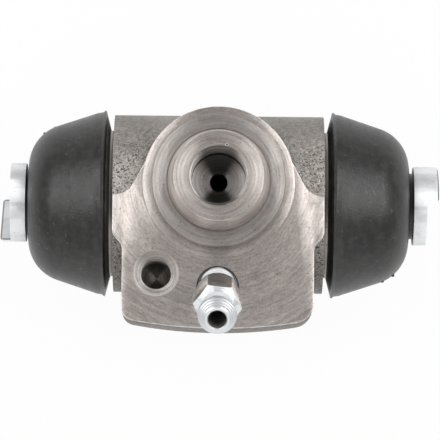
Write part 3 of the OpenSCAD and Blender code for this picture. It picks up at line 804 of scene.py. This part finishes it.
bleedSet = {"tip": -10.26, "tipR": 1.2, "reliefR": 2.4, "relief": -7.56, "shankR": 2.96, "hexFrom": 2.1604,
            "hexTo": 9.8604, "corner": 4.0415, "flatR": 3.4, "hexTurn": -6, "waistR": 2.2, "waistTo": 12.1604,
            "beadR": 3.2, "beadFrom": 12.8604, "beadTo": 13.5604, "endR": 2.1, "end": 15.5604, "boreR": 1.55,
            "boreFloor": 6.5604, "drillR": 0.8, "rings": 4, "ring": 0.12, "frontR": 2.8, "backR": 3.3,
            "back": 2.4, "turns": 4, "turnFrom": -1.9, "turnDepth": 0.3, "around": 96}


def makeBleeder():
    s = bleedSet
    nose = []
    for i in range(s["rings"]):  # fine turned rings on the nipple's cone
        for share, sink in ((0.0, 0.0), (0.35, 0.0), (0.55, 1.0), (0.8, 1.0)):
            t = (i + share) / s["rings"]
            nose.append((s["beadR"] + (s["endR"] - s["beadR"]) * t - sink * s["ring"],
                         s["beadTo"] + (s["end"] - s["beadTo"]) * t))
    profile = [(0, s["tip"]), (s["tipR"], s["tip"]), (s["reliefR"], s["tip"] + s["reliefR"] - s["tipR"]),
               (s["reliefR"], s["relief"]), (s["shankR"], s["relief"] + s["shankR"] - s["reliefR"])]
    for i in range(s["turns"]):  # the last turns of the thread, beside the hexagon
        base, root = s["turnFrom"] + i, s["shankR"] - s["turnDepth"]
        profile += [(s["shankR"], base), (root, base + 0.35), (root, base + 0.45), (s["shankR"], base + 0.8)]
    profile += [(s["shankR"], s["hexFrom"] + 0.4), (s["waistR"], s["hexFrom"] + 0.4),
                (s["waistR"], s["waistTo"]), (s["beadR"] - 0.1, s["beadFrom"]),
                (s["beadR"], s["beadFrom"] + 0.12)] + nose
    profile += [(s["endR"], s["end"] - 0.08), (s["endR"] - 0.1, s["end"]), (0, s["end"])]
    screw = turnedPiece("bleedScrew", profile, s["around"])
    bpy.ops.object.select_all(action="DESELECT")
    length, middle = s["hexTo"] - s["hexFrom"], (s["hexFrom"] + s["hexTo"]) / 2
    bpy.ops.mesh.primitive_cylinder_add(vertices=6, radius=s["corner"] * mm, depth=length * mm)
    hexagon = bpy.context.object
    settle(hexagon, (0, 0, math.radians(s["hexTurn"] + 30)), (0, 0, middle * mm))
    wideR = s["flatR"] + 0.8
    front = (wideR - s["frontR"]) * math.tan(math.radians(30))
    envelope = turnedPiece("hexTurning", [
        (0, s["hexFrom"]), (s["backR"], s["hexFrom"]), (wideR, s["hexFrom"] + s["back"]),
        (wideR, s["hexTo"] - front), (s["frontR"], s["hexTo"]), (0, s["hexTo"])], s["around"])
    cut(hexagon, envelope, "INTERSECT")
    bevelWhere(hexagon, lambda e: sharp(e, 50), 0.07, 2)
    cut(screw, hexagon, "UNION", "MANIFOLD")
    mouthR = s["boreR"] + 0.14
    bore = turnedPiece("nippleBore", [
        (0, -9), (s["drillR"], -9), (s["drillR"], s["boreFloor"]), (s["boreR"], s["boreFloor"]),
        (s["boreR"], s["end"] - 0.12), (mouthR, s["end"] + 0.02), (mouthR, s["end"] + 1),
        (0, s["end"] + 1)], 64)
    cut(screw, bore, "DIFFERENCE", "MANIFOLD")
    settle(screw, (bleedLean, 0, 0), bleedFoot)
    smoothBy(screw, 30)
    dress(screw, zincBleeder, drillShade, zincMatt, zincFlatReflection)
    for polygon in screw.data.polygons:
        c = (polygon.center - bleedFoot) / mm
        along, off = alongBleed(c), offBleed(c)
        inside = off < s["boreR"] + 0.02 and -9.2 < along < s["end"] - 0.2  # the drilled bore is painted dark: painted shade
        onHex = s["hexFrom"] < along < s["hexTo"] and off > 3.2
        flat = onHex and abs(alongBleed(polygon.normal)) < 0.05
        matt = along < s["hexFrom"] + 0.05 or onHex or abs(along - s["hexTo"]) < 0.03
        polygon.material_index = 1 if inside else 3 if flat else 2 if matt else 0
    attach(screw, "bleeder")
    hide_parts("bleed_screw")
    return screw


bleedScrew = makeBleeder()
print("bleed screw", len(bleedScrew.data.polygons))


# return spring, one half on each piston's side

springSet = {"half": 5.63, "coilR": 4.0, "wire": 0.45, "turns": 3, "sides": 10, "steps": 40}


def makeSpringHalf(name, side):
    s = springSet
    bpy.ops.object.select_all(action="DESELECT")
    bpy.ops.mesh.primitive_circle_add(vertices=s["sides"], radius=s["wire"] * mm)
    half = bpy.context.object
    half.name = half.data.name = name
    bpy.ops.object.mode_set(mode="EDIT")
    bpy.ops.mesh.select_all(action="SELECT")
    bpy.ops.transform.rotate(value=math.pi / 2, orient_axis="X", center_override=(0, 0, 0))
    bpy.ops.transform.translate(value=(s["coilR"] * mm, 0, 0))
    doneEditing()
    length = s["half"] - s["wire"]
    applied(half, "SCREW", axis="Z", angle=2 * math.pi * s["turns"], screw_offset=length * mm, iterations=1,
            steps=s["steps"] * s["turns"], render_steps=s["steps"] * s["turns"])
    closeUp(half)
    settle(half, (0 if side > 0 else math.pi, math.pi / 2, 0), (0, boreY, boreZ))
    smoothBy(half, 40)
    dress(half, springSteel)
    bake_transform(half)
    return half


springRight = makeSpringHalf("springRight", 1)
springLeft = makeSpringHalf("springLeft", -1)
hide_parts("return_spring")
print("spring", len(springRight.data.polygons))

for nodeName, finish in (("left_cup_seal", sealRubber), ("right_cup_seal", sealRubber),
                         ("left_cup_spreader", springSteel), ("right_cup_spreader", springSteel)):
    dress(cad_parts[nodeName], finish)


# floor, light and camera

studio = {"floorZ": -31.22, "tent": 0.52, "slot": 0.35, "lens": 0.4, "card": 0.75, "soft": 3.8,
          "leftShare": 0.92, "size": (0.6, 0.22), "reach": 0.6, "aim": (0.8, 0.3, 1), "shadow": 0.05}
# middle and boreAt are in the picture's pixels, perMm is pixels to a mm
cameraSet = {"tilt": 6.1, "roll": 0.58, "reach": 0.65, "lens": 312, "sensor": 36, "middle": 220,
             "boreAt": (218.5, 204.5), "perMm": 5.87}


def makeFloor():
    bpy.ops.object.select_all(action="DESELECT")
    bpy.ops.mesh.primitive_plane_add(size=4, location=(0, 0, studio["floorZ"] * mm))
    floor = bpy.context.object
    floor.name = "studioFloor"
    material = bpy.data.materials.new("paleFloor")
    material.use_nodes = True
    tree = material.node_tree
    wire = Wire(tree)
    matt = tree.nodes["Principled BSDF"]
    matt.inputs["Base Color"].default_value = (0.9, 0.9, 0.9, 1)
    matt.inputs["Roughness"].default_value = 0.9
    glow = wire.add("ShaderNodeEmission", {}, {"Color": (1, 1, 1, 1), "Strength": 1.0})
    seen = wire.add("ShaderNodeLightPath", out=0)
    path = seen.socket.node
    white = seen + Wire(tree, path.outputs["Is Glossy Ray"]) + Wire(tree, path.outputs["Is Transmission Ray"])
    share = white.math("MINIMUM", white, 1.0) * (1 - studio["shadow"])
    both = wire.add("ShaderNodeMixShader", {}, {0: share, 1: Wire(tree, matt.outputs[0]), 2: glow})
    tree.links.new(both.socket, tree.nodes["Material Output"].inputs["Surface"])
    dress(floor, material)
    floor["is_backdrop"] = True


def makeWorld():
    world = bpy.data.worlds.new("studioTent")
    bpy.context.scene.world = world
    world.use_nodes = True
    tree = world.node_tree
    back = tree.nodes["Background"]
    back.inputs["Color"].default_value = (1, 1, 1, 1)
    x, y, z = parts(Wire(tree).add("ShaderNodeTexCoord", out=0))
    aside = x.math("ABSOLUTE", x)
    slot = z.step(0.7, 0.85) * (1 - aside.step(0.2, 0.36))  # the open slot between the two lamps
    card = (0 - y).step(0.5, 0.6) * (1 - aside.step(0.35, 0.55))  # a white card in front
    lens = (z * 0.994 - y * 0.106).step(0.99, 0.996)
    tent = studio["tent"] * (1 - studio["slot"] * slot) * (1 - studio["lens"] * lens)
    strength = tent + studio["card"] * card
    tree.links.new(strength.socket, back.inputs["Strength"])


def makeLamp(name, place, size, power):
    bpy.ops.object.select_all(action="DESELECT")
    bpy.ops.object.light_add(type="AREA", location=place)
    lamp = bpy.context.object
    lamp.name = name
    lamp.data.shape = "RECTANGLE"
    lamp.data.size, lamp.data.size_y = size
    lamp.data.energy = power
    lamp.rotation_euler = Vector(place).to_track_quat("Z", "Y").to_euler()


def makeCamera():
    s = cameraSet
    tilt, roll = math.radians(s["tilt"]), math.radians(s["roll"])
    back = Vector((0, -math.sin(tilt), math.cos(tilt)))
    flatRight, flatUp = Vector((1, 0, 0)), Vector((0, math.cos(tilt), math.sin(tilt)))
    right = math.cos(roll) * flatRight + math.sin(roll) * flatUp
    up = math.cos(roll) * flatUp - math.sin(roll) * flatRight
    boreRight = (s["boreAt"][0] - s["middle"]) / s["perMm"] * mm
    boreUp = (s["middle"] - s["boreAt"][1]) / s["perMm"] * mm
    target = Vector((0, boreY, boreZ)) - right * boreRight - up * boreUp
    bpy.ops.object.select_all(action="DESELECT")
    bpy.ops.object.camera_add(location=target + back * s["reach"])
    camera = bpy.context.object
    camera.matrix_world = Matrix((right, up, back)).transposed().to_4x4()
    camera.location = target + back * s["reach"]
    camera.data.lens, camera.data.sensor_width = s["lens"], s["sensor"]
    camera.data.clip_start, camera.data.clip_end = 0.01, 20
    bpy.context.scene.camera = camera


makeFloor()
makeWorld()
power = studio["soft"] * math.pi * studio["size"][0] * studio["size"][1]
for name, side, share in (("softLeft", -1, studio["leftShare"]), ("softRight", 1, 1.0)):
    away = Vector((side * studio["aim"][0], studio["aim"][1], studio["aim"][2])).normalized()
    makeLamp(name, away * studio["reach"], studio["size"], power * share)
makeCamera()
bpy.context.scene.view_settings.view_transform = "Standard"
print("studio ready")

low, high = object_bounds()
